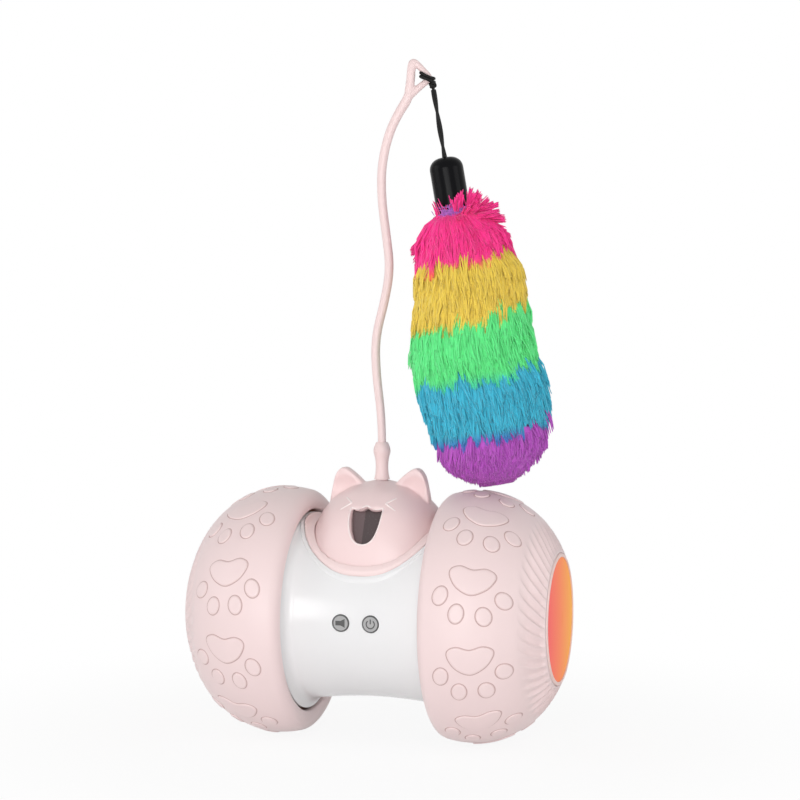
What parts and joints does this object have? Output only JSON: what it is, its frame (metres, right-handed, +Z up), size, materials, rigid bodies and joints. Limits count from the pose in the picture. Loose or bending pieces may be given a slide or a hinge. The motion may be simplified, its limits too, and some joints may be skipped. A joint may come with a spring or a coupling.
{
  "type": "self-rolling cat ball",
  "caption": "Self-rolling cat ball: paw-print wheels on a white waist with lights, buttons and a cat's head, and a plush teaser on a string from a soft wand.",
  "frame": {"origin": "on the floor, under the middle of the axle", "axes": "+X along the axle towards the wheel on the right in the picture, +Y to the back, away from the face, +Z up"},
  "size_m": [0.1234, 0.0834, 0.2259],
  "materials": {
    "soft_pink": "satin, soft touch",
    "hub_plastic": "moulded",
    "ring_pink": "smooth",
    "lens_glow": "smooth, lit from behind",
    "steel": "turned",
    "gear_nylon": "moulded",
    "brass": "turned",
    "motor_can": "drawn can",
    "inner_plastic": "moulded",
    "circuit_board": "solder mask",
    "white_shell": "polished",
    "weight_steel": "plain",
    "cell_foil": "foil",
    "black_plastic": "moulded",
    "button_grey": "satin with printed icons",
    "speaker_metal": "painted",
    "head_pink": "satin",
    "collar_pink": "soft, smooth",
    "smoked_window": "smoked, see-through",
    "wand_pink": "soft, smooth",
    "string_black": "twisted cord",
    "cap_black": "polished",
    "plush_pink": "long pile",
    "plush_yellow": "long pile",
    "plush_green": "long pile",
    "plush_blue": "long pile",
    "plush_purple": "long pile"
  },
  "bodies": {
    "waist": {"motor_left": "motor_can", "motor_right": "motor_can", "end_plate_left": "inner_plastic", "end_plate_right": "inner_plastic", "gearbox_cover_left": "inner_plastic", "gearbox_cover_right": "inner_plastic", "led_board_left": "circuit_board", "led_board_right": "circuit_board", "shaft_bushes": "brass", "compound_pins": "steel", "gearbox_screws": "steel", "front_shell": "white_shell", "rear_shell": "white_shell", "shell_screws": "steel", "steel_weight": "weight_steel", "battery": "cell_foil", "battery_strap": "inner_plastic", "main_board": "circuit_board", "button_switches": "black_plastic", "speaker": "speaker_metal", "charging_socket": "steel", "charging_board": "circuit_board", "head_shell": "head_pink", "head_collar": "collar_pink", "head_frame": "inner_plastic", "mouth_window": "smoked_window", "sensor_board": "circuit_board"},
    "wheel_right": {"tyre_right": "soft_pink", "wheel_hub_right": "hub_plastic", "lens_ring_right": "ring_pink", "lens_right": "lens_glow", "wheel_shaft_right": "steel", "hub_screw_right": "steel", "output_gear_right": "gear_nylon"},
    "wheel_left": {"tyre_left": "soft_pink", "wheel_hub_left": "hub_plastic", "lens_ring_left": "ring_pink", "lens_left": "lens_glow", "wheel_shaft_left": "steel", "hub_screw_left": "steel", "output_gear_left": "gear_nylon"},
    "compound_right": {"compound_gear_right": "gear_nylon"},
    "compound_left": {"compound_gear_left": "gear_nylon"},
    "rotor_right": {"motor_pinion_right": "brass", "motor_shaft_right": "steel"},
    "rotor_left": {"motor_pinion_left": "brass", "motor_shaft_left": "steel"},
    "sound_button": {"sound_button": "button_grey"},
    "power_button": {"power_button": "button_grey"},
    "wand_base": {"wand_base": "wand_pink"},
    "wand": {"wand_rod": "wand_pink", "string_hitch": "string_black"},
    "knot": {"string_knot": "string_black"},
    "string": {"teaser_string": "string_black"},
    "teaser": {"teaser_cap": "cap_black", "plush_pink": "plush_pink", "plush_yellow": "plush_yellow", "plush_green": "plush_green", "plush_blue": "plush_blue", "plush_purple": "plush_purple"}
  },
  "joints": [
    {"name": "wheel_right_roll", "type": "hinge", "parent": "waist", "child": "wheel_right", "pos_m": [0.03, 0, 0.042], "axis": [1, 0, 0], "continuous": true},
    {"name": "compound_right_turn", "type": "hinge", "parent": "waist", "child": "compound_right", "pos_m": [0.033, 0.00502, 0.02786], "axis": [1, 0, 0], "continuous": true},
    {"name": "rotor_right_turn", "type": "hinge", "parent": "waist", "child": "rotor_right", "pos_m": [0.03, 0.012, 0.04], "axis": [1, 0, 0], "continuous": true},
    {"name": "wheel_left_roll", "type": "hinge", "parent": "waist", "child": "wheel_left", "pos_m": [-0.03, 0, 0.042], "axis": [1, 0, 0], "continuous": true},
    {"name": "compound_left_turn", "type": "hinge", "parent": "waist", "child": "compound_left", "pos_m": [-0.033, -0.00502, 0.02786], "axis": [1, 0, 0], "continuous": true},
    {"name": "rotor_left_turn", "type": "hinge", "parent": "waist", "child": "rotor_left", "pos_m": [-0.03, -0.012, 0.04], "axis": [1, 0, 0], "continuous": true},
    {"name": "sound_button_press", "type": "slide", "parent": "waist", "child": "sound_button", "axis": [0, 1, 0], "range_m": [0, 0.0007], "stiffness_N_per_m": 1500, "springref_m": -0.0005},
    {"name": "power_button_press", "type": "slide", "parent": "waist", "child": "power_button", "axis": [0, 1, 0], "range_m": [0, 0.0007], "stiffness_N_per_m": 1500, "springref_m": -0.0005},
    {"name": "wand_turn", "type": "hinge", "parent": "waist", "child": "wand_base", "pos_m": [0, 0.002, 0.0864], "axis": [0, 0, 1], "continuous": true},
    {"name": "wand_sway", "type": "hinge", "parent": "wand_base", "child": "wand", "pos_m": [0, 0.002, 0.099], "axis": [1, 0, 0], "range_deg": [-15, 15], "stiffness_Nm_per_rad": 0.08},
    {"name": "teaser_swing_front", "type": "hinge", "parent": "wand", "child": "knot", "pos_m": [0.01708, 0.00342, 0.21721], "axis": [1, 0, 0], "range_deg": [-45, 45]},
    {"name": "teaser_swing_side", "type": "hinge", "parent": "knot", "child": "string", "pos_m": [0.01708, 0.00342, 0.21721], "axis": [0, -1, 0], "range_deg": [0, 60]},
    {"name": "teaser_twist", "type": "hinge", "parent": "string", "child": "teaser", "pos_m": [0.01708, 0.00342, 0.21721], "axis": [0.1702, 0, -0.9854], "continuous": true}
  ],
  "couplings": [
    {"joint": "compound_right_turn", "follows": "wheel_right_roll", "ratio": -4},
    {"joint": "rotor_right_turn", "follows": "wheel_right_roll", "ratio": 24},
    {"joint": "compound_left_turn", "follows": "wheel_left_roll", "ratio": -4},
    {"joint": "rotor_left_turn", "follows": "wheel_left_roll", "ratio": 24}
  ]
}
